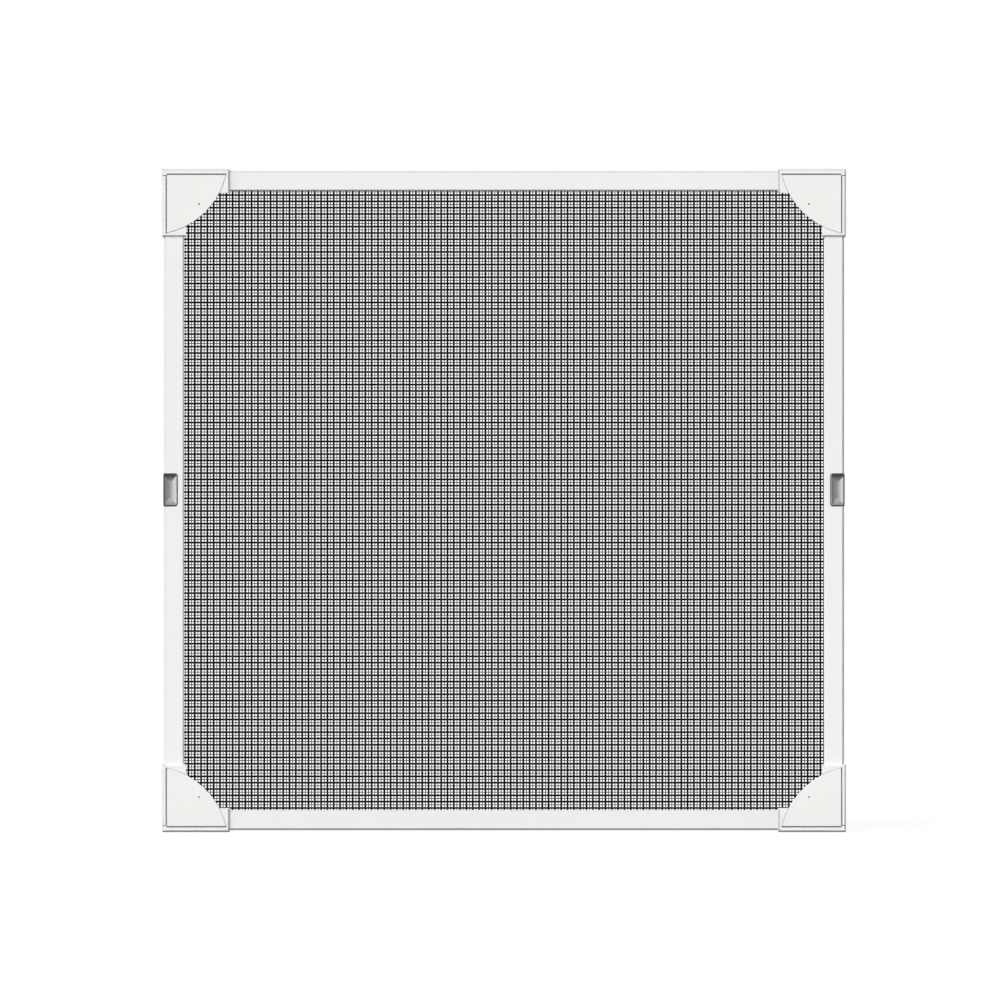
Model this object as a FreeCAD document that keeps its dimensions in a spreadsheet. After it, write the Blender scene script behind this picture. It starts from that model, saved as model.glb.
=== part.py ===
import FreeCAD, Part
import os
import PartDesign
import Sketcher
from FreeCAD import Placement, Rotation, Vector

# Framed insect screen for a window: four coated hollow bars, four moulded corners with fan-shaped covers,
# a woven mesh held in rear grooves by spline cords, and a finger pull in each side bar.
# Millimetres. X runs to the right seen from the front, Y from front to rear, Z up.
# The origin is the middle of the bottom edge, half way through the thickness.

SIZES = {
    "frame_width": 680,  # over the outer edges of the side bars
    "frame_height": 659,  # over the outer edges of the top and bottom bars
    "bar_width": 20,
    "bar_thickness": 9,
    "bar_wall": 1.4,
    "bar_edge_radius": 1.4,  # rear edge
    "bevel_width": 1.8,  # steep bevel along the outer front edges of bars and corners
    "bevel_depth": 2.6,
    "inner_bevel_width": 1.3,  # the same beside the opening
    "inner_bevel_depth": 2.2,
    "groove_floor": 2.2,  # wall between the groove and the bar's front
    "groove_web": 1.2,  # wall between the bar's chamber and the spline groove
    "groove_width": 3,
    "lip_width": 1.2,  # wall between the groove and the opening
    "lip_drop": 3.4,  # how far the lip stays below the bar's rear face
    "corner_leg": 68,  # length of a corner's leg from its outer corner
    "sleeve_wall": 1.8,  # sleeve walls at the bar's edges
    "sleeve_face": 1.4,  # sleeve wall at the bar's rear
    "front_wall": 2.6,  # sleeve wall at the bar's front, with the seat of the cover in it
    "socket_clearance": 0.2,
    "socket_stop": 3.5,  # solid behind the end of each bar
    "corner_edge_radius": 1.6,  # rear edges
    "rim_top": 4.7,  # rim between the cover's seat and the top or bottom edge
    "rim_side": 3.75,  # rim between the cover's seat and the side edge
    "notch_up": 6.1,  # from the top or bottom edge to a notch across the side rim
    "notch_width": 1,
    "seam_width": 1.4,  # gap between a rim and the gusset cover
    "arc_gap": 0.4,  # gap between the seat and the cover's arc
    "gusset_thickness": 1.9,
    "gusset_end_gap": 4,  # from the end of the leg to the end of the cover's arc
    "gusset_radius": 78,
    "gusset_edge_radius": 0.5,
    "gusset_skirt": 1.6,  # wall that follows the arc down to the mesh
    "skirt_setback": 0.5,  # from the arc's edge to that wall
    "gusset_gap": 0.3,  # from the skirt to the legs and to the mesh
    "pin_hole": 1.8,  # blind hole in the cover's front
    "pin_hole_depth": 1.5,
    "pin_hole_along": 37.2,
    "pin_hole_up": 35.1,
    "peg_diameter": 4,
    "peg_length": 5,
    "peg_clearance": 0.3,
    "peg_near": 10,
    "peg_far": 18,
    "yarn_pitch": 6.32,
    "yarn_width": 1.9,
    "yarn_thickness": 0.4,
    "hem_depth": 3,  # how deep the mesh is turned into the groove
    "spline_height": 2.6,
    "spline_corner_radius": 0.8,
    "spline_end_gap": 1,
    "pull_height": 31.6,
    "pull_reach": 13.1,  # from the bar's outer edge to the pull's inner side
    "pull_rise": 10.6,  # centre of the pulls above half height
    "pull_clearance": 0.8,
    "pull_stand": 0.6,  # how far the pulls stand out of the bar
    "pull_corner_radius": 2,
    "pull_rim": 0.5,  # from the edge of a pull to its dish
    "pull_bevel_width": 0.3,
    "pull_bevel_depth": 0.4,
    "dish_depth": 4.4,
    "dish_hollow": 3.4,  # how far the dish's floor is hollowed across
    "dish_end_radius": 9.5,
}

# Derived lengths, all measured from the values above
OVERHANG = "(Sizes.sleeve_wall + Sizes.socket_clearance)"
LEG_WIDTH = f"(Sizes.bar_width + 2 * {OVERHANG})"
HALF_BAR = "(Sizes.bar_thickness / 2)"
HALF_SOCKET = f"({HALF_BAR} + Sizes.socket_clearance)"
REAR_FACE = f"({HALF_SOCKET} + Sizes.sleeve_face)"
FRONT_FACE = f"({HALF_SOCKET} + Sizes.front_wall)"
SEAT_FACE = f"({FRONT_FACE} - Sizes.gusset_thickness)"
LIP_FACE = f"({HALF_BAR} - Sizes.lip_drop)"
BAR_END = f"({LEG_WIDTH} + Sizes.socket_stop)"
MID_PLANE = "((Sizes.front_wall - Sizes.sleeve_face) / 2)"
MID_HEIGHT = f"({OVERHANG} + Sizes.frame_height / 2)"
WIDE_BAR = f"(Sizes.frame_width + 2 * {OVERHANG} - 2 * {BAR_END})"
TALL_BAR = f"(Sizes.frame_height + 2 * {OVERHANG} - 2 * {BAR_END})"

# Distances from the outer edge of a bar, towards the opening
GROOVE_INNER = "(Sizes.bar_width - Sizes.lip_width)"
GROOVE_OUTER = f"({GROOVE_INNER} - Sizes.groove_width)"
CHAMBER_END = f"({GROOVE_OUTER} - Sizes.groove_web)"
HEM_EDGE = f"({GROOVE_INNER} - Sizes.yarn_thickness)"

# Ends and centre of the gusset's arc, from the outer corner
ARC_END = "(Sizes.corner_leg - Sizes.gusset_end_gap)"
COVER_SIDE = "(Sizes.rim_side + Sizes.seam_width)"
COVER_TOP = "(Sizes.rim_top + Sizes.seam_width)"
HALF_RUN = f"(({ARC_END} - {COVER_SIDE}) / 2)"
HALF_RISE = f"(({ARC_END} - {COVER_TOP}) / 2)"
ARC_DEPTH = f"sqrt(Sizes.gusset_radius ^ 2 / ({HALF_RUN} ^ 2 + {HALF_RISE} ^ 2) - 1)"
ARC_ALONG = f"(({ARC_END} + {COVER_SIDE}) / 2 - {ARC_DEPTH} * {HALF_RISE})"
ARC_UP = f"(({ARC_END} + {COVER_TOP}) / 2 - {ARC_DEPTH} * {HALF_RUN})"

# Side of the object each name belongs to: direction from the outer corner inwards along X and Z
CORNERS = {
    "top_left": (1, -1),
    "top_right": (-1, -1),
    "bottom_left": (1, 1),
    "bottom_right": (-1, 1),
}

# The middle of each bar's outer edge, in X and Z, and its length
BARS = {
    "left": ("-Sizes.frame_width / 2", MID_HEIGHT, TALL_BAR),
    "right": ("Sizes.frame_width / 2", MID_HEIGHT, TALL_BAR),
    "bottom": ("0", OVERHANG, WIDE_BAR),
    "top": ("0", f"{OVERHANG} + Sizes.frame_height", WIDE_BAR),
}
TURN_DEGREES = {"left": 0, "right": 180, "bottom": -90, "top": 90}

doc = FreeCAD.newDocument("window_screen_frame")
sheet = doc.addObject("Spreadsheet::Sheet", "Sizes")
for row, (alias, value) in enumerate(SIZES.items(), 1):
    sheet.set(f"A{row}", alias)
    sheet.set(f"B{row}", str(value))
    sheet.setAlias(f"B{row}", alias)
doc.recompute()


def number(expression):
    """Value of an expression on the sheet."""
    return float(sheet.evalExpression(expression))


def bind(thing, **properties):
    """Binds properties to expressions, written with two underscores for each dot."""
    for name, expression in properties.items():
        thing.setExpression(name.replace("__", "."), expression)


def put(thing, x, y, z, turn_degrees=0):
    """Places a piece, turned about Y."""
    thing.Placement = Placement(Vector(), Rotation(Vector(0, 1, 0), turn_degrees))
    bind(thing, Placement__Base__x=x, Placement__Base__y=y, Placement__Base__z=z)


def new_body(name):
    body = doc.addObject("PartDesign::Body", name)
    body.Label = name
    return body


def sketch_on(body, role, name, along_normal="0"):
    """Sketch on one of the body's origin planes, moved along the plane's normal (XZ: towards the front)."""
    sketch = body.newObject("Sketcher::SketchObject", name)
    plane = next(f for f in body.Origin.OriginFeatures if f.Role == role)
    sketch.AttachmentSupport = (plane, [""])
    sketch.MapMode = "FlatFace"
    bind(sketch, AttachmentOffset__Base__z=along_normal)
    return sketch


def fix_point(sketch, edge, end, x, y):
    for kind, expression in (("DistanceX", x), ("DistanceY", y)):
        at = sketch.addConstraint(Sketcher.Constraint(kind, -1, 1, edge, end, number(expression)))
        sketch.setExpression(f"Constraints[{at}]", expression)


def add_arc(sketch, start, end, radius, centre_x, centre_y):
    """Arc between two points; gives the edge and which of its ends is start and end."""
    centre = Vector(number(centre_x), number(centre_y), 0)
    forward = (start - centre).cross(end - centre).z > 0
    first, last = (start, end) if forward else (end, start)
    circle = Part.Circle(centre, Vector(0, 0, 1), number(radius))
    edge = sketch.addGeometry(Part.ArcOfCircle(circle, circle.parameter(first), circle.parameter(last)))
    at = sketch.addConstraint(Sketcher.Constraint("Radius", edge, number(radius)))
    sketch.setExpression(f"Constraints[{at}]", radius)
    return (edge, 1, 2) if forward else (edge, 2, 1)


def outline(sketch, points):
    """Closed outline through points (x, y), or (x, y, radius, centre x, centre y) where an arc leads on."""
    spots = [Vector(number(point[0]), number(point[1]), 0) for point in points]
    edges = []
    for point, start, end in zip(points, spots, spots[1:] + spots[:1]):
        if len(point) == 2:
            edges.append((sketch.addGeometry(Part.LineSegment(start, end)), 1, 2))
        else:
            edges.append(add_arc(sketch, start, end, *point[2:]))
    for point, (edge, first, last), (after, after_first, _) in zip(points, edges, edges[1:] + edges[:1]):
        sketch.addConstraint(Sketcher.Constraint("Coincident", edge, last, after, after_first))
        fix_point(sketch, edge, first, point[0], point[1])


def rectangle(sketch, left, low, right, high):
    outline(sketch, [(left, low), (right, low), (right, high), (left, high)])


def circle(sketch, x, y, diameter):
    ring = Part.Circle(Vector(number(x), number(y), 0), Vector(0, 0, 1), number(diameter) / 2)
    edge = sketch.addGeometry(ring)
    fix_point(sketch, edge, 3, x, y)
    at = sketch.addConstraint(Sketcher.Constraint("Diameter", edge, number(diameter)))
    sketch.setExpression(f"Constraints[{at}]", diameter)


def pad(body, sketch, length, side="One side", backwards=False, taper="0"):
    feature = body.newObject("PartDesign::Pad", sketch.Name + "_pad")
    feature.Profile = sketch
    feature.SideType = side
    feature.Reversed = backwards
    bind(feature, Length=length, TaperAngle=taper)
    doc.recompute()
    return feature


def pocket(body, sketch, depth=None, side="One side"):
    """Pocket against the sketch's normal, through everything where no depth is given."""
    before = body.Shape.Volume
    feature = body.newObject("PartDesign::Pocket", sketch.Name + "_pocket")
    feature.Profile = sketch
    feature.SideType = side
    if depth is None:
        feature.Type = "ThroughAll"
    else:
        bind(feature, Length=depth)
    doc.recompute()
    if body.Shape.Volume > before - 1e-3:
        raise RuntimeError(f"{feature.Name} cuts nothing")
    return feature


def fillet(body, radius, chosen):
    """Rounds the edges of the body for which chosen gives true."""
    base = body.Tip
    names = [f"Edge{k}" for k, edge in enumerate(base.Shape.Edges, 1) if chosen(edge)]
    feature = body.newObject("PartDesign::Fillet", body.Name + "_fillet")
    feature.Base = (base, names)
    bind(feature, Radius=radius)
    doc.recompute()
    return feature


def bevelled(body, name, points, rear, front, width, depth):
    """Solid from a rear to a front plane, both measured towards the front, with a bevel round its front."""
    base = sketch_on(body, "XZ_Plane", f"{name}_outline", rear)
    outline(base, points)
    pad(body, base, f"{front} - {depth} - ({rear})")
    rising = sketch_on(body, "XZ_Plane", f"{name}_bevel", f"{front} - {depth}")
    outline(rising, points)
    pad(body, rising, depth, taper=f"-atan({width} / {depth})")


def lies(edge, axis, value):
    """Whether the whole edge lies at one value of X, Y or Z."""
    return all(abs(getattr(vertex.Point, axis) - value) < 1e-4 for vertex in edge.Vertexes)


def bar_profile(sketch):
    """Hollow section: bevelled front, spline groove at the rear beside the opening, lower lip inside it."""
    front, rear, floor = f"-{HALF_BAR}", HALF_BAR, f"-{HALF_BAR} + Sizes.groove_floor"
    bend, wall, slope = "Sizes.bar_edge_radius", "Sizes.bar_wall", "Sizes.bevel_width"
    outline(sketch, [
        ("0", f"{front} + Sizes.bevel_depth"),
        (slope, front),
        ("Sizes.bar_width - Sizes.inner_bevel_width", front),
        ("Sizes.bar_width", f"{front} + Sizes.inner_bevel_depth"),
        ("Sizes.bar_width", LIP_FACE),
        (GROOVE_INNER, LIP_FACE),
        (GROOVE_INNER, floor),
        (GROOVE_OUTER, floor),
        (GROOVE_OUTER, rear),
        (bend, rear, bend, bend, f"{rear} - {bend}"),
        ("0", f"{rear} - {bend}"),
    ])
    outline(sketch, [
        (wall, f"{front} + {wall} + Sizes.bevel_depth"),
        (f"{wall} + {slope}", f"{front} + {wall}"),
        (CHAMBER_END, f"{front} + {wall}"),
        (CHAMBER_END, f"{rear} - {wall}"),
        (wall, f"{rear} - {wall}"),
    ])


def inward_tab(outer, end, middle, half_height, bend):
    """Points of a rectangle from the bar's outer edge inwards, with its two inner corners rounded."""
    low, high, flat = f"({middle} - {half_height})", f"({middle} + {half_height})", f"({end} - {bend})"
    return [
        (outer, low),
        (flat, low, bend, flat, f"{low} + {bend}"),
        (end, f"{low} + {bend}"),
        (end, f"{high} - {bend}", bend, flat, f"{high} - {bend}"),
        (flat, high),
        (outer, high),
    ]


def make_bar(side, x, z, length, pull_middle=None):
    body = new_body(f"frame_bar_{side}")
    profile = sketch_on(body, "XY_Plane", f"bar_{side}_profile")
    bar_profile(profile)
    pad(body, profile, length, "Symmetric")
    if pull_middle:
        notch = sketch_on(body, "XZ_Plane", f"bar_{side}_notch", HALF_BAR)
        half_height = "(Sizes.pull_height / 2 + Sizes.pull_clearance)"
        bend = "(Sizes.pull_corner_radius + Sizes.pull_clearance)"
        end = "(Sizes.pull_reach + Sizes.pull_clearance)"
        outline(notch, inward_tab("-Sizes.bar_wall", end, pull_middle, half_height, bend))
        pocket(body, notch, "Sizes.bar_thickness - Sizes.bar_wall")
    put(body, x, MID_PLANE, z, TURN_DEGREES[side])
    return body


def make_spline(side, x, z, length):
    """Cord pressed flat between the groove's outer wall, its floor and the mesh's hem."""
    body = new_body(f"spline_{side}")
    section = sketch_on(body, "XY_Plane", f"spline_{side}_section")
    low, bend = f"(Sizes.groove_floor - {HALF_BAR})", "Sizes.spline_corner_radius"
    high = f"({low} + Sizes.spline_height)"
    outline(section, [
        (f"{GROOVE_OUTER} + {bend}", low),
        (f"{HEM_EDGE} - {bend}", low, bend, f"{HEM_EDGE} - {bend}", f"{low} + {bend}"),
        (HEM_EDGE, f"{low} + {bend}"),
        (HEM_EDGE, f"{high} - {bend}", bend, f"{HEM_EDGE} - {bend}", f"{high} - {bend}"),
        (f"{HEM_EDGE} - {bend}", high),
        (f"{GROOVE_OUTER} + {bend}", high, bend, f"{GROOVE_OUTER} + {bend}", f"{high} - {bend}"),
        (GROOVE_OUTER, f"{high} - {bend}"),
        (GROOVE_OUTER, f"{low} + {bend}", bend, f"{GROOVE_OUTER} + {bend}", f"{low} + {bend}"),
    ])
    pad(body, section, f"{length} - 2 * Sizes.spline_end_gap", "Symmetric")
    put(body, x, MID_PLANE, z, TURN_DEGREES[side])
    return body


def to_corner(hand, points):
    """Points measured inwards from an outer corner, as places in a sketch seen from the front."""
    along, up = hand
    turned = []
    for point in points:
        spot = (f"{along} * ({point[0]})", f"{up} * ({point[1]})")
        bend = (point[2], f"{along} * ({point[3]})", f"{up} * ({point[4]})") if len(point) > 2 else ()
        turned.append(spot + bend)
    return turned


def put_at_corner(body, hand):
    along, up = hand
    x = f"{-along} * (Sizes.frame_width / 2 + {OVERHANG})"
    z = "0" if up > 0 else f"Sizes.frame_height + 2 * {OVERHANG}"
    put(body, x, MID_PLANE, z)


def make_corner(name, hand):
    """L-shaped sleeve: a socket for each bar, open at the rear over the groove, a seat for the cover."""
    body = new_body(f"corner_{name}")
    leg, past = "Sizes.corner_leg", "(Sizes.corner_leg + Sizes.sleeve_wall)"
    bevelled(body, f"corner_{name}", to_corner(hand, [
        ("0", "0"), (leg, "0"), (leg, LEG_WIDTH), (LEG_WIDTH, LEG_WIDTH), (LEG_WIDTH, leg), ("0", leg),
    ]), f"-{REAR_FACE}", FRONT_FACE, "Sizes.bevel_width", "Sizes.bevel_depth")
    edges = sketch_on(body, "XZ_Plane", f"corner_{name}_inner_edges", f"{FRONT_FACE} - Sizes.bevel_depth")
    start, stop = "(2 * Sizes.bevel_width)", "(Sizes.corner_leg - Sizes.bevel_width)"
    outline(edges, to_corner(hand, [
        (start, start), (stop, start), (stop, LEG_WIDTH), (LEG_WIDTH, LEG_WIDTH), (LEG_WIDTH, stop), (start, stop),
    ]))
    pad(body, edges, "Sizes.bevel_depth")
    rear = number(REAR_FACE)
    fillet(body, "Sizes.corner_edge_radius",
           lambda edge: lies(edge, "y", rear) and (lies(edge, "x", 0) or lies(edge, "z", 0)))

    seat = sketch_on(body, "XZ_Plane", f"corner_{name}_seat", FRONT_FACE)
    radius = "(Sizes.gusset_radius + Sizes.arc_gap)"
    first, notch_end = f"({COVER_SIDE} - Sizes.gusset_gap)", "(Sizes.notch_up + Sizes.notch_width)"
    outline(seat, to_corner(hand, [
        (first, "Sizes.rim_top"),
        (on_arc("Sizes.rim_top", ARC_UP, ARC_ALONG, radius), "Sizes.rim_top", radius, ARC_ALONG, ARC_UP),
        ("Sizes.rim_side", on_arc("Sizes.rim_side", ARC_ALONG, ARC_UP, radius)),
        ("Sizes.rim_side", notch_end),
        ("-Sizes.rim_side", notch_end),
        ("-Sizes.rim_side", "Sizes.notch_up"),
        (first, "Sizes.notch_up"),
    ]))
    pocket(body, seat, "Sizes.gusset_thickness")

    sockets = sketch_on(body, "XZ_Plane", f"corner_{name}_sockets")
    inner, outer = "Sizes.sleeve_wall", f"({LEG_WIDTH} - Sizes.sleeve_wall)"
    lying = [(BAR_END, inner), (past, inner), (past, outer), (BAR_END, outer)]
    outline(sockets, to_corner(hand, lying))
    outline(sockets, to_corner(hand, [(up, along) for along, up in lying]))
    pocket(body, sockets, f"2 * {HALF_SOCKET}", "Symmetric")

    window = sketch_on(body, "XZ_Plane", f"corner_{name}_window", f"-{LIP_FACE}")
    edge = f"({OVERHANG} + {GROOVE_OUTER} - Sizes.groove_web / 2)"
    outline(window, to_corner(hand, [(edge, edge), (past, edge), (past, past), (edge, past)]))
    pocket(body, window)

    holes = sketch_on(body, "XZ_Plane", f"corner_{name}_peg_holes", SEAT_FACE)
    peg_circles(holes, hand, "Sizes.peg_diameter + 2 * Sizes.peg_clearance")
    pocket(body, holes, "Sizes.peg_length + Sizes.peg_clearance")
    put_at_corner(body, hand)
    return body


def peg_circles(sketch, hand, diameter):
    for along, up in (("Sizes.peg_near", "Sizes.peg_far"), ("Sizes.peg_far", "Sizes.peg_near")):
        ((x, y),) = to_corner(hand, [(along, up)])
        circle(sketch, x, y, diameter)


def on_arc(other, other_centre, centre, radius):
    """Where the gusset's arc of this radius passes a line, as a distance from the outer corner."""
    return f"({centre} + sqrt(({radius}) ^ 2 - ({other} - {other_centre}) ^ 2))"


def make_gusset(name, hand):
    """Fan-shaped cover: plate with an arc towards the mesh, a skirt along the arc, pegs into the corner."""
    body = new_body(f"gusset_cover_{name}")
    radius = "Sizes.gusset_radius"
    plate = sketch_on(body, "XZ_Plane", f"gusset_{name}_plate", SEAT_FACE)
    outline(plate, to_corner(hand, [
        (COVER_SIDE, COVER_TOP), (ARC_END, COVER_TOP, radius, ARC_ALONG, ARC_UP), (COVER_SIDE, ARC_END),
    ]))
    pad(body, plate, "Sizes.gusset_thickness")
    front = -number(FRONT_FACE)
    fillet(body, "Sizes.gusset_edge_radius",
           lambda edge: lies(edge, "y", front) and isinstance(edge.Curve, Part.Circle))
    hole = sketch_on(body, "XZ_Plane", f"gusset_{name}_pin_hole", FRONT_FACE)
    ((x, y),) = to_corner(hand, [("Sizes.pin_hole_along", "Sizes.pin_hole_up")])
    circle(hole, x, y, "Sizes.pin_hole")
    pocket(body, hole, "Sizes.pin_hole_depth")

    skirt = sketch_on(body, "XZ_Plane", f"gusset_{name}_skirt", SEAT_FACE)
    inside = f"({LEG_WIDTH} + Sizes.gusset_gap)"
    convex = f"({radius} - Sizes.skirt_setback)"
    hollow = f"({convex} - Sizes.gusset_skirt)"
    outline(skirt, to_corner(hand, [
        (on_arc(inside, ARC_UP, ARC_ALONG, convex), inside, convex, ARC_ALONG, ARC_UP),
        (inside, on_arc(inside, ARC_ALONG, ARC_UP, convex)),
        (inside, on_arc(inside, ARC_ALONG, ARC_UP, hollow), hollow, ARC_ALONG, ARC_UP),
        (on_arc(inside, ARC_UP, ARC_ALONG, hollow), inside),
    ]))
    pad(body, skirt, f"{SEAT_FACE} + {LIP_FACE} - Sizes.gusset_gap", backwards=True)

    pegs = sketch_on(body, "XZ_Plane", f"gusset_{name}_pegs", SEAT_FACE)
    peg_circles(pegs, hand, "Sizes.peg_diameter")
    pad(body, pegs, "Sizes.peg_length", backwards=True)
    put_at_corner(body, hand)
    return body


def lattice(name, axis, span, length, half_ring, count, layer, hem_half):
    """One set of yarns: a flat border on the lips, parallel yarns inside it, a hem turned into two grooves.

    span is the half opening across the yarns, length the half opening along them, half_ring the border's
    half sizes in X and Z, layer the front of the yarns, hem_half half the hem's length."""
    body = new_body(name)
    upright = axis == "X_Axis"
    half = {True: (span, length), False: (length, span)}[upright]
    border = sketch_on(body, "XZ_Plane", f"{name}_border", f"-{layer}")
    rectangle(border, f"-{half_ring[0]}", f"-{half_ring[1]}", half_ring[0], half_ring[1])
    rectangle(border, f"-{half[0]}", f"-{half[1]}", half[0], half[1])
    pad(body, border, "Sizes.yarn_thickness", backwards=True)

    hem = sketch_on(body, "XZ_Plane", f"{name}_hem", f"-{layer}")
    edge = half_ring[1] if upright else half_ring[0]
    strip = f"({edge} - Sizes.yarn_thickness)"
    for near, far in ((strip, edge), (f"-{edge}", f"-{strip}")):
        if upright:
            rectangle(hem, f"-{hem_half}", near, hem_half, far)
        else:
            rectangle(hem, near, f"-{hem_half}", far, hem_half)
    pad(body, hem, f"{layer} - {LIP_FACE} + Sizes.hem_depth")

    yarn = sketch_on(body, "XZ_Plane", f"{name}_yarn", f"-{layer}")
    first = f"(-({count} - 1) / 2 * Sizes.yarn_pitch)"
    low, high = f"{first} - Sizes.yarn_width / 2", f"{first} + Sizes.yarn_width / 2"
    reach = f"({length} + Sizes.lip_width / 2)"
    if upright:
        rectangle(yarn, low, f"-{reach}", high, reach)
    else:
        rectangle(yarn, f"-{reach}", low, reach, high)
    first_yarn = pad(body, yarn, "Sizes.yarn_thickness", backwards=True)
    rows = body.newObject("PartDesign::LinearPattern", f"{name}_rows")
    rows.Originals = [first_yarn]
    rows.Direction = (next(f for f in body.Origin.OriginFeatures if f.Role == axis), [""])
    bind(rows, Length=f"({count} - 1) * Sizes.yarn_pitch", Occurrences=count)
    body.Tip = rows
    put(body, "0", MID_PLANE, MID_HEIGHT)
    doc.recompute()
    return body


def make_mesh():
    """Upright yarns in front, lying yarns behind them, each set one grille."""
    half_wide = "(Sizes.frame_width / 2 - Sizes.bar_width)"
    half_tall = "(Sizes.frame_height / 2 - Sizes.bar_width)"
    wide_groove = f"(Sizes.frame_width / 2 - {GROOVE_INNER})"
    tall_groove = f"(Sizes.frame_height / 2 - {GROOVE_INNER})"
    upright_count = f"(2 * floor(({half_wide} - Sizes.yarn_width) / Sizes.yarn_pitch) + 1)"
    lying_count = f"(2 * floor(({half_tall} - Sizes.yarn_width) / Sizes.yarn_pitch + 0.5))"
    hem_wide = f"({WIDE_BAR} / 2 - Sizes.spline_end_gap)"
    hem_tall = f"({TALL_BAR} / 2 - Sizes.spline_end_gap)"
    upright = lattice("upright_yarns", "X_Axis", half_wide, half_tall,
                      (wide_groove, f"({tall_groove} + Sizes.yarn_thickness)"),
                      upright_count, LIP_FACE, hem_wide)
    lying = lattice("lying_yarns", "Z_Axis", half_tall, half_wide,
                    (f"({wide_groove} + Sizes.yarn_thickness)", tall_groove),
                    lying_count, f"({LIP_FACE} + Sizes.yarn_thickness)", hem_tall)
    mesh = doc.addObject("Part::Compound", "insect_mesh")
    mesh.Links = [upright, lying]
    mesh.Label = "insect_mesh"
    return mesh


def free_sketch(name, rotation, x="0", y="0", z="0"):
    sketch = doc.addObject("Sketcher::SketchObject", name)
    sketch.Placement = Placement(Vector(), rotation)
    bind(sketch, Placement__Base__x=x, Placement__Base__y=y, Placement__Base__z=z)
    return sketch


def extrude(sketch, direction, length):
    """Solid between half the length before and half the length behind the sketch."""
    solid = doc.addObject("Part::Extrusion", sketch.Name + "_solid")
    solid.Base = sketch
    solid.DirMode = "Custom"
    solid.Dir = direction
    solid.Solid = True
    solid.Symmetric = True
    bind(solid, LengthFwd=length)
    doc.recompute()
    return solid


def make_pull(side, x, z, middle):
    """Finger pull: a block seated in the bar's notch, with a dish hollowed across and curved at both ends."""
    front = f"({HALF_BAR} + Sizes.pull_stand)"
    seat = f"({HALF_BAR} - Sizes.bar_wall)"
    outer, inner, rim, deep = "(-Sizes.pull_stand)", "Sizes.pull_reach", "Sizes.pull_rim", "Sizes.dish_depth"
    block = new_body(f"pull_{side}_block")
    tab = inward_tab(outer, inner, middle, "Sizes.pull_height / 2", "Sizes.pull_corner_radius")
    bevelled(block, f"pull_{side}", tab, f"-{seat}", front, "Sizes.pull_bevel_width", "Sizes.pull_bevel_depth")

    left, right, end = f"({outer} + {rim})", f"({inner} - {rim})", f"(Sizes.pull_height / 2 - {rim})"
    mouth = free_sketch(f"pull_{side}_mouth", Rotation(Vector(1, 0, 0), 90), y=f"-{front}")
    outline(mouth, inward_tab(left, right, middle, end, f"(Sizes.pull_corner_radius - {rim})"))

    half, centre = f"(({right} - {left}) / 2)", f"(({right} + {left}) / 2)"
    sag, wall = "Sizes.dish_hollow", f"({deep} - Sizes.dish_hollow - {front})"
    radius = f"(({half} ^ 2 + {sag} ^ 2) / (2 * {sag}))"
    above = f"(-{front} - {rim})"
    across = free_sketch(f"pull_{side}_across", Rotation(), z=middle)
    outline(across, [
        (left, above), (left, wall, radius, centre, f"{wall} + {sag} - {radius}"), (right, wall), (right, above),
    ])

    bend, floor = "Sizes.dish_end_radius", f"({deep} - {front})"
    run = f"sqrt(2 * {bend} * {deep} - {deep} ^ 2)"
    upright = free_sketch(f"pull_{side}_upright", Rotation(Vector(1, 1, 1), 120), x=centre, z=middle)
    outline(upright, [
        (above, f"-{end}"),
        (f"-{front}", f"-{end}", bend, f"{floor} - {bend}", f"{run} - {end}"),
        (floor, f"{run} - {end}"),
        (floor, f"{end} - {run}", bend, f"{floor} - {bend}", f"{end} - {run}"),
        (f"-{front}", end),
        (above, end),
    ])
    troughs = [extrude(mouth, Vector(0, 1, 0), f"4 * {deep}"),
               extrude(across, Vector(0, 0, 1), "2 * Sizes.pull_height"),
               extrude(upright, Vector(1, 0, 0), "2 * Sizes.bar_width")]
    dish = doc.addObject("Part::MultiCommon", f"pull_{side}_dish")
    dish.Shapes = troughs
    pull = doc.addObject("Part::Cut", f"finger_pull_{side}")
    pull.Base = block
    pull.Tool = dish
    pull.Label = f"finger_pull_{side}"
    put(pull, x, MID_PLANE, z, TURN_DEGREES[side])
    return pull


def make_all():
    pieces = []
    for side, (x, z, length) in BARS.items():
        middle = {"left": "Sizes.pull_rise", "right": "(-Sizes.pull_rise)"}.get(side)
        pieces.append(make_bar(side, x, z, length, middle))
        pieces.append(make_spline(side, x, z, length))
        if middle:
            pieces.append(make_pull(side, x, z, middle))
    for name, hand in CORNERS.items():
        pieces.append(make_corner(name, hand))
        pieces.append(make_gusset(name, hand))
    pieces.append(make_mesh())
    return pieces


def check(pieces):
    doc.recompute()
    for thing in doc.Objects:
        if any(word in ("Invalid", "Error") for word in thing.State):
            raise RuntimeError(f"{thing.Name}: {thing.State}")
    for piece in pieces:
        if piece.Shape.isNull() or not piece.Shape.isValid() or not piece.Shape.Solids:
            raise RuntimeError(f"{piece.Label} has no valid solid")


pieces = make_all()
check(pieces)
os.makedirs("parts", exist_ok=True)
for piece in pieces:
    piece.Shape.exportStep(f"parts/{piece.Label}.step")
    box = piece.Shape.BoundBox
    print(f"{piece.Label}: {len(piece.Shape.Solids)} solid, {piece.Shape.Volume:.0f} mm3, "
          f"X {box.XMin:.2f} {box.XMax:.2f}, Y {box.YMin:.2f} {box.YMax:.2f}, Z {box.ZMin:.2f} {box.ZMax:.2f}")
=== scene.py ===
import math

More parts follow.
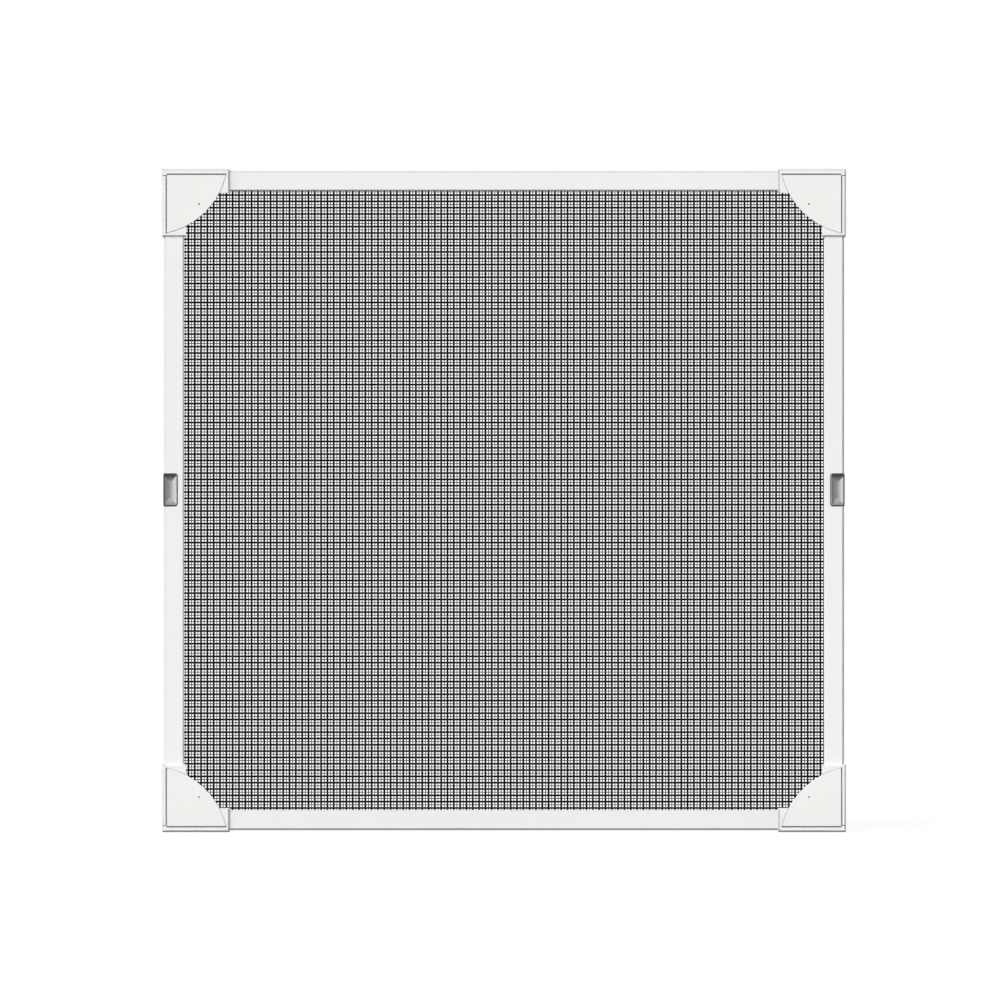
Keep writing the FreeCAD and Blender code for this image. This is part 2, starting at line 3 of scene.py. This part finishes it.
import bpy
import numpy as np
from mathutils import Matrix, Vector


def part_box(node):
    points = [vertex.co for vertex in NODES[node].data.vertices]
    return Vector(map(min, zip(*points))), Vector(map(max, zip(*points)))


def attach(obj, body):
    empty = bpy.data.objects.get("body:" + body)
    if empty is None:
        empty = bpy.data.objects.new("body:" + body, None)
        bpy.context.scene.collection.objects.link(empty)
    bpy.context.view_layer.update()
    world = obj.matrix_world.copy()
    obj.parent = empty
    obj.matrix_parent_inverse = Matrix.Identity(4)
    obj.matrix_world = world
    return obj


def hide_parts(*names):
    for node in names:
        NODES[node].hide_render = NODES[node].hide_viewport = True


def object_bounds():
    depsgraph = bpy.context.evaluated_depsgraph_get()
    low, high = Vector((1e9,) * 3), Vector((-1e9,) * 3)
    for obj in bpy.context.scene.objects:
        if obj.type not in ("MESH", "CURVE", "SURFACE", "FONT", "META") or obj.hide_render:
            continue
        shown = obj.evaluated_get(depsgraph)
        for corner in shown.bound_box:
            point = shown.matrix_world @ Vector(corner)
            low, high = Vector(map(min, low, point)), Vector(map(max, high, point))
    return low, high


# Framed insect screen: looks of the CAD pieces, and the crimped yarns that stand for the plain CAD mesh.
# Metres, in the CAD frame: X right, Y from front to rear, Z up, origin at the middle of the bottom edge.

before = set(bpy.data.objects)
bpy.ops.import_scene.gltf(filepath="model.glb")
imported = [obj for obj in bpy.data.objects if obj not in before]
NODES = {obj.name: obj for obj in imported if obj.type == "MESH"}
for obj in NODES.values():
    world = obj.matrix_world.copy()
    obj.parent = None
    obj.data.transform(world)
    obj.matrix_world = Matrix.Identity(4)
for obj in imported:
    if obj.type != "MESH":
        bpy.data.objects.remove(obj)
CAD_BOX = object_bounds()

# Weave
PITCH = 0.00632  # between heavy yarns; a fine yarn runs half way between two of them
HEAVY_WIDTH = 0.0019
HEAVY_DEPTH = 0.00042
FINE_WIDTH = 0.0008
FINE_DEPTH = 0.0003
YARN_SIDES = 4
CRIMP = 0.0002  # how far a yarn goes in front of and behind the middle of the weave
LAYER = 0.0004  # depth of one set of yarns in the CAD mesh
SHORT_HEM = 0.0004  # turned-in end of a yarn that finds no groove behind the corner
SHIFT_X = 0.00037  # how far the weave's pattern lies beside the middle of the opening
SHIFT_Z = -0.00102

# Colours of the clean surfaces, each cloudy between two shades
COAT = ((0.845, 0.845, 0.845), (0.868, 0.868, 0.868))
CORNER_PLASTIC = ((0.85, 0.85, 0.844), (0.868, 0.868, 0.862))
COVER_PLASTIC = ((0.85, 0.85, 0.832), (0.868, 0.868, 0.85))
PULL_METAL = ((0.25, 0.25, 0.25), (0.29, 0.29, 0.29))
YARN = ((0.003, 0.003, 0.003), (0.006, 0.006, 0.0064))
CORD = ((0.016, 0.016, 0.017), (0.028, 0.028, 0.029))

# Colours of painted shade, painted highlight and wear
# Painted shade in the corners' seams, the covers' seats and pin holes, where the bars go into the sleeves,
# and on the corners' outer bevels
PAINTED_SHADE = (0.2, 0.2, 0.195)
# Near-black painted shade on the cut walls inside the finger pulls' notches
NOTCH_SHADE = (0.02, 0.02, 0.02)
# Painted shade at the upper ends of the pulls' dishes, on their rims and on the walls that face right
PULL_SHADE = (0.04, 0.04, 0.04)
# Painted highlight on the dish walls that face left
PULL_HIGHLIGHT = (0.52, 0.52, 0.52)
# Coat worn thin on the outer bevels and darkened there as painted shade
WORN_AND_SHADED_COAT = (0.7, 0.7, 0.695)
# Painted shade on the bars' bevels that face right
RIGHT_BEVEL_SHADE = (0.46, 0.46, 0.45)

# Places of painted shade, painted highlight and wear
BEVEL_REACH = 0.0045  # how far from the outline the bars' outer bevels end
SEAM_REACH = 0.0064  # how far from the outline the seams of the covers lie
RIM_REACH = 0.003  # how far from the outline the outer rims of the finger pulls end
RIM_WIDTH = 0.0008  # of their lower and upper rims
RECESS = (-0.0055, -0.0053)  # Y from which a front face lies in a seam or a hole
NOTCH_ROOM = 0.001  # how far round a finger pull the walls of its notch are looked for
NOTCH_FRONT = (0.0002, 0.0006)  # how far behind the bar's front these walls begin
NOTCH_REAR = 0.0003  # how far behind the pull they end
SIDE_ROOM = 0.001  # from the middle of the screen to what counts as its left or right
SOFT = 0.0002  # over which painted shade and wear begin
SHARP = 0.0001  # over which the painted shade on the notches' walls begins

# Shares of painted shade
UPRIGHT_SHARE = 0.8  # of the painted shade in lying seams, for the upright ones
LEFT_SHARE = 0.4  # of that painted shade, where the bars go into the left-hand sleeves
RIGHT_SHARE = 0.6  # and into the right-hand ones
BEVEL_SHARE = 0.2  # and on the corners' outer bevels
WALL_SHARE = 0.4  # of the painted shade at the pulls' upper ends, for the walls that face right

# Ranges of a normal over which painted shade, painted highlight and wear begin: X is 1 to the right, Y is -1
# to the front, Z is 1 upward
FRONT_FACE = (-0.8, -0.95)
TILTED_FACE = (-0.97, -0.93)
NOT_SIDE_FACE = (-0.1, -0.2)
RIGHT_FACE = (0.2, 0.3)
SLEEVE_FRONT = (-0.05, -0.15)
DISH_FRONT = (-0.2, -0.3)
DISH_HIGHLIGHT = (-0.15, -0.75)
DISH_TOP = (-0.15, -0.7)
DISH_WALL = (0.3, 0.85)

# Studio
FLOOR_RADIUS = 0.6
FLOOR_SIDES = 96
FLOOR_DROP = 0.0002  # below the screen's lowest faces
FLOOR_GREY = 0.2
FLOOR_GLOW = 0.86  # with the lamps' light on the floor it makes white
EVEN_LIGHT = 0.06

# Photograph: a thousand picture units of one millimetre; VIEW_X and VIEW_Z are its middle
VIEW_X = -0.004
VIEW_Z = 0.332
VIEW_WIDTH = 1.0
CAMERA_DISTANCE = 12.0
CAMERA_REACH = 100.0
SENSOR_WIDTH = 36.0  # millimetres, as is the lens

NOISE_RANGE = (0.3, 0.7)  # in which most of a noise texture lies


def node_of(tree, kind, **settings):
    """New shader node; inputs are set by name, with underscores for spaces."""
    node = tree.nodes.new(kind)
    for name, value in settings.items():
        spaced = name.replace("_", " ")
        if spaced in node.inputs:
            node.inputs[spaced].default_value = value
        else:
            setattr(node, name, value)
    return node


def new_material(name):
    """New material with a bare principled shader, its node tree and the shader."""
    material = bpy.data.materials.new(name)
    material.use_nodes = True
    tree = material.node_tree
    tree.nodes.clear()
    output = tree.nodes.new("ShaderNodeOutputMaterial")
    shader = tree.nodes.new("ShaderNodeBsdfPrincipled")
    tree.links.new(shader.outputs["BSDF"], output.inputs["Surface"])
    return material, tree, shader


def stretched(tree, scale):
    """Object coordinates in metres, multiplied along each axis."""
    place = tree.nodes.new("ShaderNodeTexCoord")
    mapping = tree.nodes.new("ShaderNodeMapping")
    mapping.inputs["Scale"].default_value = scale
    tree.links.new(place.outputs["Object"], mapping.inputs["Vector"])
    return mapping.outputs["Vector"]


def noise(tree, cells, detail=2.0, rough=0.5):
    """Noise with that many cells to the metre along each axis."""
    texture = node_of(tree, "ShaderNodeTexNoise", Scale=1.0, Detail=detail, Roughness=rough)
    tree.links.new(stretched(tree, cells), texture.inputs["Vector"])
    return texture.outputs["Fac"]


def between(tree, factor, low, high):
    """Number that runs from low to high as the noise goes through its usual range."""
    first, last = NOISE_RANGE
    spread = node_of(tree, "ShaderNodeMapRange", From_Min=first, From_Max=last, To_Min=low, To_Max=high)
    tree.links.new(factor, spread.inputs["Value"])
    return spread.outputs["Result"]


def colours(tree, factor, first, second):
    """Colour between two, each given as numbers or taken from another node."""
    mix = node_of(tree, "ShaderNodeMix", data_type="RGBA")
    tree.links.new(factor, mix.inputs["Factor"])
    for name, colour in (("A", first), ("B", second)):
        socket = next(i for i in mix.inputs if i.name == name and i.type == "RGBA")
        if isinstance(colour, tuple):
            socket.default_value = (*colour, 1)
        else:
            tree.links.new(colour, socket)
    return next(o for o in mix.outputs if o.type == "RGBA")


def cloudy(tree, cells, detail, shades):
    """Colour that drifts between two shades."""
    return colours(tree, between(tree, noise(tree, cells, detail), 0, 1), *shades)


def surface(tree, shader, base, roughness, specular):
    """Colour and roughness from nodes, and one specular level all over."""
    tree.links.new(base, shader.inputs["Base Color"])
    tree.links.new(roughness, shader.inputs["Roughness"])
    shader.inputs["Specular IOR Level"].default_value = specular


def relief(tree, shader, height, depth, strength):
    """Fine relief of that depth in metres."""
    bump = node_of(tree, "ShaderNodeBump", Strength=strength, Distance=depth)
    tree.links.new(height, bump.inputs["Height"])
    tree.links.new(bump.outputs["Normal"], shader.inputs["Normal"])


def combined(tree, operation, factors):
    """Several numbers from nodes, put together two at a time."""
    total = factors[0]
    for factor in factors[1:]:
        step = node_of(tree, "ShaderNodeMath", operation=operation)
        tree.links.new(total, step.inputs[0])
        tree.links.new(factor, step.inputs[1])
        total = step.outputs["Value"]
    return total


def share_of(tree, factor, share):
    """A number from a node times a fixed share."""
    part = node_of(tree, "ShaderNodeMath", operation="MULTIPLY")
    tree.links.new(factor, part.inputs[0])
    part.inputs[1].default_value = share
    return part.outputs["Value"]


def ramp(tree, value, first, last):
    """Nought up to the first value, one from the last."""
    spread = node_of(tree, "ShaderNodeMapRange", From_Min=first, From_Max=last)
    tree.links.new(value, spread.inputs["Value"])
    return spread.outputs["Result"]


def axes_of(tree, output):
    """X, Y and Z of the object's coordinates or normals."""
    place = tree.nodes.new("ShaderNodeTexCoord")
    parts = tree.nodes.new("ShaderNodeSeparateXYZ")
    tree.links.new(place.outputs[output], parts.inputs["Vector"])
    return [parts.outputs[axis] for axis in "XYZ"]


def in_recess(tree):
    """One where a moulding faces the front from the bottom of a seam or a hole, nought elsewhere."""
    depth = axes_of(tree, "Object")[1]
    facing = axes_of(tree, "Normal")[1]
    return combined(tree, "MULTIPLY", [ramp(tree, depth, *RECESS), ramp(tree, facing, *FRONT_FACE)])


def near_sides(tree, axis, reach):
    """One within reach of the screen's two outer sides along one axis, nought further in."""
    low = CAD_BOX[0][axis] + reach
    high = CAD_BOX[1][axis] - reach
    place = axes_of(tree, "Object")[axis]
    return combined(tree, "MAXIMUM", [
        ramp(tree, place, low, low - SOFT),
        ramp(tree, place, high, high + SOFT),
    ])


def near_outline(tree, reach):
    """One within reach of the screen's outline seen from the front, nought further in."""
    return combined(tree, "MAXIMUM", [near_sides(tree, axis, reach) for axis in (0, 2)])


def in_seam(tree):
    """Painted shade at the bottom of the corners' straight seams: full in lying seams, less in upright ones.
    """
    upright = share_of(tree, near_sides(tree, 0, SEAM_REACH), UPRIGHT_SHARE)
    beside_edge = combined(tree, "MAXIMUM", [near_sides(tree, 2, SEAM_REACH), upright])
    return combined(tree, "MULTIPLY", [in_recess(tree), beside_edge])


def on_bevel(tree):
    """One on the outer front bevels of the bars and corners, nought elsewhere."""
    facing = axes_of(tree, "Normal")[1]
    return combined(tree, "MULTIPLY", [
        near_outline(tree, BEVEL_REACH),
        ramp(tree, facing, *TILTED_FACE),
        ramp(tree, facing, *NOT_SIDE_FACE),
    ])


def on_sleeve_end(tree, side):
    """One on the front bevel of the left (-1) or right (1) sleeves where the bars go in, nought elsewhere."""
    x = axes_of(tree, "Object")[0]
    sideways, facing, _ = axes_of(tree, "Normal")
    first, last = RIGHT_FACE
    return combined(tree, "MULTIPLY", [
        ramp(tree, x, 0, side * SIDE_ROOM),
        ramp(tree, sideways, -side * first, -side * last),
        ramp(tree, facing, *SLEEVE_FRONT),
    ])


def on_corner(tree):
    """Painted shade of a corner: most in the seams, less where the bars go in, a trace on all bevels but the
    right.
    """
    sideways = axes_of(tree, "Normal")[0]
    not_right = ramp(tree, sideways, *reversed(RIGHT_FACE))
    shaded_bevel = combined(tree, "MULTIPLY", [on_bevel(tree), not_right])
    return combined(tree, "MAXIMUM", [
        in_seam(tree),
        share_of(tree, on_sleeve_end(tree, -1), LEFT_SHARE),
        share_of(tree, on_sleeve_end(tree, 1), RIGHT_SHARE),
        share_of(tree, shaded_bevel, BEVEL_SHARE),
    ])


def on_pull_rim(tree):
    """One on the outer, lower and upper rims of the finger pulls, nought elsewhere."""
    low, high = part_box("finger_pull_left")
    lower = low[2] + RIM_WIDTH
    upper = high[2] - RIM_WIDTH
    z = axes_of(tree, "Object")[2]
    return combined(tree, "MAXIMUM", [
        near_outline(tree, RIM_REACH),
        ramp(tree, z, lower, lower - SOFT),
        ramp(tree, z, upper, upper + SOFT),
    ])


def in_notch(tree):
    """One on the cut walls inside the finger pulls' notches, nought elsewhere."""
    low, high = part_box("finger_pull_left")
    bar_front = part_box("frame_bar_left")[0][1]
    inner = -high[0] - NOTCH_ROOM
    rear = high[1] + NOTCH_REAR
    below = low[2] - NOTCH_ROOM
    above = high[2] + NOTCH_ROOM
    x, y, z = axes_of(tree, "Object")
    apart = node_of(tree, "ShaderNodeMath", operation="ABSOLUTE")
    tree.links.new(x, apart.inputs[0])
    return combined(tree, "MULTIPLY", [
        ramp(tree, apart.outputs["Value"], inner, inner + SHARP),
        ramp(tree, y, bar_front + NOTCH_FRONT[0], bar_front + NOTCH_FRONT[1]),
        ramp(tree, y, rear, rear - SHARP),
        ramp(tree, z, below, below + SHARP),
        ramp(tree, z, above, above - SHARP),
    ])


def coated_metal():
    """White powder coat with slight orange peel: worn thin and darkened as painted shade on the outer bevels,
    darker painted shade on the right-hand ones, and near-black painted shade on the cut walls of the notches."""
    material, tree, shader = new_material("white_powder_coat")
    peel = noise(tree, (700, 700, 700))
    coat = cloudy(tree, (9, 9, 9), 3, COAT)
    worn_and_shaded = combined(tree, "MULTIPLY", [on_bevel(tree), between(tree, noise(tree, (60, 60, 60)), 0.8, 1)])
    # worn thin coat and painted shade on the outer bevels
    coat = colours(tree, worn_and_shaded, coat, WORN_AND_SHADED_COAT)
    patches = between(tree, noise(tree, (35, 35, 35), 3), 0.5, 1)
    right = ramp(tree, axes_of(tree, "Normal")[0], *RIGHT_FACE)
    # darker painted shade on the right-facing bevels, in patches
    coat = colours(tree, combined(tree, "MULTIPLY", [worn_and_shaded, patches, right]), coat, RIGHT_BEVEL_SHADE)
    # near-black painted shade on the notches' cut walls
    coat = colours(tree, in_notch(tree), coat, NOTCH_SHADE)
    surface(tree, shader, coat, between(tree, peel, 0.36, 0.46), specular=0.3)
    relief(tree, shader, peel, depth=0.00005, strength=0.25)
    return material


def moulded_plastic(name, shades, shade_mask):
    """White moulded plastic with a fine spark-eroded grain and painted shade where the given mask says."""
    material, tree, shader = new_material(name)
    grain = noise(tree, (1900, 1900, 1900), 3, 0.6)
    # painted shade where the mask says
    plastic = colours(tree, shade_mask(tree), cloudy(tree, (14, 14, 14), 3, shades), PAINTED_SHADE)
    surface(tree, shader, plastic, between(tree, grain, 0.42, 0.58), specular=0.3)
    relief(tree, shader, grain, depth=0.00004, strength=0.3)
    return material


def satin_metal():
    """Grey die-cast metal under a satin lacquer, brushed upright: a painted highlight on the wall of the dish
    that faces left, painted shade at its upper end and on the rims, and less of it on the wall that faces
    right."""
    material, tree, shader = new_material("satin_grey_metal")
    brushed = noise(tree, (2600, 2600, 60), 3, 0.6)
    sideways, facing, upward = axes_of(tree, "Normal")
    front = ramp(tree, facing, *DISH_FRONT)
    highlight_on_pull = combined(tree, "MULTIPLY", [front, ramp(tree, sideways, *DISH_HIGHLIGHT)])
    shaded_places = combined(tree, "MAXIMUM", [
        ramp(tree, upward, *DISH_TOP),
        on_pull_rim(tree),
        share_of(tree, ramp(tree, sideways, *DISH_WALL), WALL_SHARE),
    ])
    shade_on_pull = combined(tree, "MULTIPLY", [front, shaded_places])
    metal = cloudy(tree, (120, 120, 120), 3, PULL_METAL)
    # painted highlight on the dish walls that face left
    metal = colours(tree, highlight_on_pull, metal, PULL_HIGHLIGHT)
    # painted shade at the dish's upper end, on the rims and on the walls that face right
    metal = colours(tree, shade_on_pull, metal, PULL_SHADE)
    surface(tree, shader, metal, between(tree, brushed, 0.36, 0.44), specular=0.9)
    shader.inputs["Metallic"].default_value = 0.05
    relief(tree, shader, brushed, depth=0.00003, strength=0.2)
    return material


def black_yarn():
    """Black coated yarn: the plies' twist shows through the coating."""
    material, tree, shader = new_material("black_coated_yarn")
    twist = node_of(tree, "ShaderNodeTexWave", bands_direction="DIAGONAL", Scale=330.0, Distortion=1.2,
                    Detail=2.0, Detail_Scale=3.0)
    tree.links.new(stretched(tree, (1, 1, 1)), twist.inputs["Vector"])
    fibre = noise(tree, (2400, 2400, 2400), 3)
    yarn = cloudy(tree, (40, 40, 40), 2, YARN)
    surface(tree, shader, yarn, between(tree, fibre, 0.45, 0.7), specular=0.04)
    relief(tree, shader, twist.outputs["Fac"], depth=0.00008, strength=0.6)
    return material


def soft_cord():
    """Black soft cord with the fine rings of its extrusion."""
    material, tree, shader = new_material("black_spline_cord")
    rings = noise(tree, (260, 2600, 260))
    cord = cloudy(tree, (60, 60, 60), 2, CORD)
    surface(tree, shader, cord, between(tree, rings, 0.55, 0.75), specular=0.3)
    relief(tree, shader, rings, depth=0.0001, strength=0.4)
    return material


def dress(prefix, material):
    """Gives every CAD node whose name starts with prefix one material."""
    for name, node in NODES.items():
        if name.startswith(prefix):
            node.data.materials.clear()
            node.data.materials.append(material)


def tubes(paths, thick, across, width, depth, sides):
    """Vertices and faces of closed yarns.

    paths holds yarns by points by three, thick the depth axis at each point."""
    turns = np.arange(sides) * 2 * math.pi / sides
    wide = np.outer(np.cos(turns) * width / 2, across)
    deep = np.sin(turns)[None, :, None] * thick[:, None, :] * depth / 2
    points = paths[:, :, None, :] + (wide[None, :, :] + deep)[None, :, :, :]
    yarns, count, _ = paths.shape
    number = np.arange(yarns * count * sides).reshape(yarns, count, sides)
    turned = np.roll(number, -1, 2)
    side = np.stack([number[:, :-1], turned[:, :-1], turned[:, 1:], number[:, 1:]], -1).reshape(-1, 4)
    caps = np.concatenate([number[:, 0, ::-1], number[:, -1]])
    return points.reshape(-1, 3), side.tolist() + caps.tolist()


def yarn_set(places, crossings, half, groove_half, hem, middle, upright, size):
    """One set of yarns: to the front and to the rear by turns, and into the groove at both ends.

    places are the yarns' positions, crossings those of the heavy yarns they cross, half the distance to the
    groove, groove_half half the length of the groove, hem how deep a yarn goes into it, middle the centre of
    the weave, and size a yarn's width, depth and number of sides."""
    across, along = (0, 2) if upright else (2, 0)
    axes = np.eye(3)
    way = np.concatenate([[-half] * 2, crossings, [half] * 2])
    wave = np.where(np.arange(len(crossings)) % 2 == 0, 1.0, -1.0)
    sign = np.where(np.arange(len(places)) % 2 == 0, CRIMP, -CRIMP)
    paths = np.zeros((len(places), len(way), 3))
    paths[:, :, across] = places[:, None]
    paths[:, :, along] = way[None, :]
    paths[:, 2:-2, 1] = sign[:, None] * wave[None, :]
    ends = np.where(np.abs(places) < groove_half, hem, SHORT_HEM)
    paths[:, [0, -1], 1] = -ends[:, None]
    thick = np.repeat(axes[1:2], len(way), 0)
    thick[0], thick[-1] = -axes[along], axes[along]
    thick[1], thick[-2] = axes[1] - axes[along], axes[1] + axes[along]
    return tubes(paths + np.array(middle), thick, axes[across], *size)


def one_piece(name, sets, material):
    """One object from several sets of yarns."""
    points, faces, start = [], [], 0
    for set_points, set_faces in sets:
        points.append(set_points)
        faces += [[index + start for index in face] for face in set_faces]
        start += len(set_points)
    mesh = bpy.data.meshes.new(name)
    mesh.from_pydata(np.concatenate(points).tolist(), [], faces)
    mesh.polygons.foreach_set("use_smooth", [len(face) == 4 for face in faces])
    mesh.materials.append(material)
    mesh.update()
    piece = bpy.data.objects.new(name, mesh)
    bpy.context.scene.collection.objects.link(piece)
    return piece


def evenly(offset, shift, reach):
    """Places one pitch apart within reach of the middle; the offset is in pitches, the shift in metres."""
    count = math.ceil(reach / PITCH)
    places = (np.arange(-count, count + 1) + offset) * PITCH + shift
    return places[np.abs(places) < reach]


def make_mesh(material):
    """The insect mesh: heavy black yarns both ways and fine ones half way between them.

    They aren't interlaced as in a true weave. Where yarns cross they run into each other: two heavy ones
    swing to the same side, two fine ones meet at the middle, and a fine one lies partly in a heavy one."""
    low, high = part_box("insect_mesh")
    spline_low, spline_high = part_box("spline_left")
    half_wide = high[0] - LAYER / 2
    half_tall = (high[2] - low[2] - LAYER) / 2
    middle = (0, high[1] - LAYER, (low[2] + high[2]) / 2)
    hem = middle[1] - low[1]
    groove_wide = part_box("spline_bottom")[1][0]
    groove_tall = (spline_high[2] - spline_low[2]) / 2
    inside_wide = -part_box("frame_bar_left")[1][0]
    inside_tall = middle[2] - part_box("frame_bar_bottom")[1][2]
    heavy_x = evenly(0, SHIFT_X, inside_wide - HEAVY_WIDTH / 2)
    heavy_z = evenly(0.5, SHIFT_Z, inside_tall - HEAVY_WIDTH / 2)
    fine_x = evenly(0.5, SHIFT_X, inside_wide - FINE_WIDTH / 2)
    fine_z = evenly(0, SHIFT_Z, inside_tall - FINE_WIDTH / 2)
    upright = (half_tall, groove_wide, hem, middle, True)
    lying = (half_wide, groove_tall, hem, middle, False)
    heavy_size = (HEAVY_WIDTH, HEAVY_DEPTH, YARN_SIDES)
    fine_size = (FINE_WIDTH, FINE_DEPTH, YARN_SIDES)
    heavy = one_piece("insect_mesh_weave", [
        yarn_set(heavy_x, heavy_z, *upright, heavy_size),
        yarn_set(heavy_z, heavy_x, *lying, heavy_size),
    ], material)
    fine = one_piece("insect_mesh_fine_yarns", [
        yarn_set(fine_x, heavy_z, *upright, fine_size),
        yarn_set(fine_z, heavy_x, *lying, fine_size),
    ], material)
    declare_mesh(heavy, fine)


def declare_mesh(heavy, fine):
    """Hangs both yarn pieces on the root body and hides the plain CAD mesh."""
    for piece in (heavy, fine):
        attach(piece, "root")
        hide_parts("insect_mesh")


def direct_sight(tree, share):
    """That share for camera, glossy and transmission rays, nothing for the rest."""
    path = tree.nodes.new("ShaderNodeLightPath")
    rays = ("Is Camera Ray", "Is Glossy Ray", "Is Transmission Ray")
    return share_of(tree, combined(tree, "MAXIMUM", [path.outputs[name] for name in rays]), share)


def make_floor():
    """Small pale floor that the screen stands on: dull to the object, white with a soft shadow when seen."""
    turns = np.arange(FLOOR_SIDES) * 2 * math.pi / FLOOR_SIDES
    level = np.full(FLOOR_SIDES, -FLOOR_DROP)
    rim = np.stack([FLOOR_RADIUS * np.cos(turns), FLOOR_RADIUS * np.sin(turns), level], 1)
    mesh = bpy.data.meshes.new("floor")
    mesh.from_pydata(rim.tolist(), [], [list(range(FLOOR_SIDES))])
    floor = bpy.data.objects.new("floor", mesh)
    bpy.context.scene.collection.objects.link(floor)
    material, tree, shader = new_material("pale_floor")
    shader.inputs["Base Color"].default_value = (FLOOR_GREY, FLOOR_GREY, FLOOR_GREY, 1)
    shader.inputs["Roughness"].default_value = 1
    shader.inputs["Specular IOR Level"].default_value = 0
    shader.inputs["Emission Color"].default_value = (1, 1, 1, 1)
    tree.links.new(direct_sight(tree, FLOOR_GLOW), shader.inputs["Emission Strength"])
    mesh.materials.append(material)


def make_world():
    """White background that gives the object a weak even light."""
    world = bpy.data.worlds.new("studio")
    bpy.context.scene.world = world
    world.use_nodes = True
    tree = world.node_tree
    tree.nodes.clear()
    even = node_of(tree, "ShaderNodeBackground", Color=(1, 1, 1, 1), Strength=EVEN_LIGHT)
    white = node_of(tree, "ShaderNodeBackground", Color=(1, 1, 1, 1), Strength=1.0)
    mix = tree.nodes.new("ShaderNodeMixShader")
    output = tree.nodes.new("ShaderNodeOutputWorld")
    tree.links.new(direct_sight(tree, 1.0), mix.inputs["Fac"])
    tree.links.new(even.outputs["Background"], mix.inputs[1])
    tree.links.new(white.outputs["Background"], mix.inputs[2])
    tree.links.new(mix.outputs["Shader"], output.inputs["Surface"])


def add_lamp(name, energy, spread_degrees, direction):
    """Far lamp that shines along a direction, soft by the angle that it fills."""
    light = bpy.data.lights.new(name, "SUN")
    light.energy = energy
    light.angle = math.radians(spread_degrees)
    lamp = bpy.data.objects.new(name, light)
    lamp.rotation_euler = Vector(direction).to_track_quat("-Z", "Y").to_euler()
    bpy.context.scene.collection.objects.link(lamp)


def place_camera():
    """Camera far in front of the screen, square to it, with the photograph's frame."""
    data = bpy.data.cameras.new("camera")
    data.sensor_width = SENSOR_WIDTH
    data.lens = SENSOR_WIDTH * CAMERA_DISTANCE / VIEW_WIDTH
    data.clip_end = CAMERA_REACH
    camera = bpy.data.objects.new("camera", data)
    camera.location = (VIEW_X, -CAMERA_DISTANCE, VIEW_Z)
    camera.rotation_euler = (math.pi / 2, 0, 0)
    bpy.context.scene.collection.objects.link(camera)
    bpy.context.scene.camera = camera


dress("frame_bar_", coated_metal())
dress("corner_", moulded_plastic("white_corner_plastic", CORNER_PLASTIC, on_corner))
# the covers get painted shade in their seats and pin holes
dress("gusset_cover_", moulded_plastic("white_cover_plastic", COVER_PLASTIC, in_recess))
dress("finger_pull_", satin_metal())
dress("spline_", soft_cord())
make_mesh(black_yarn())
make_floor()
make_world()
add_lamp("key", energy=3.16, spread_degrees=50, direction=(0.44, 0.76, -0.48))
add_lamp("left_side", energy=0.84, spread_degrees=30, direction=(0.93, 0.36, -0.05))
add_lamp("right_side", energy=0.85, spread_degrees=30, direction=(-0.97, 0.22, -0.08))
add_lamp("behind", energy=2.5, spread_degrees=40, direction=(-0.48, -0.8, -0.36))
place_camera()
bpy.context.scene.view_settings.view_transform = "Standard"
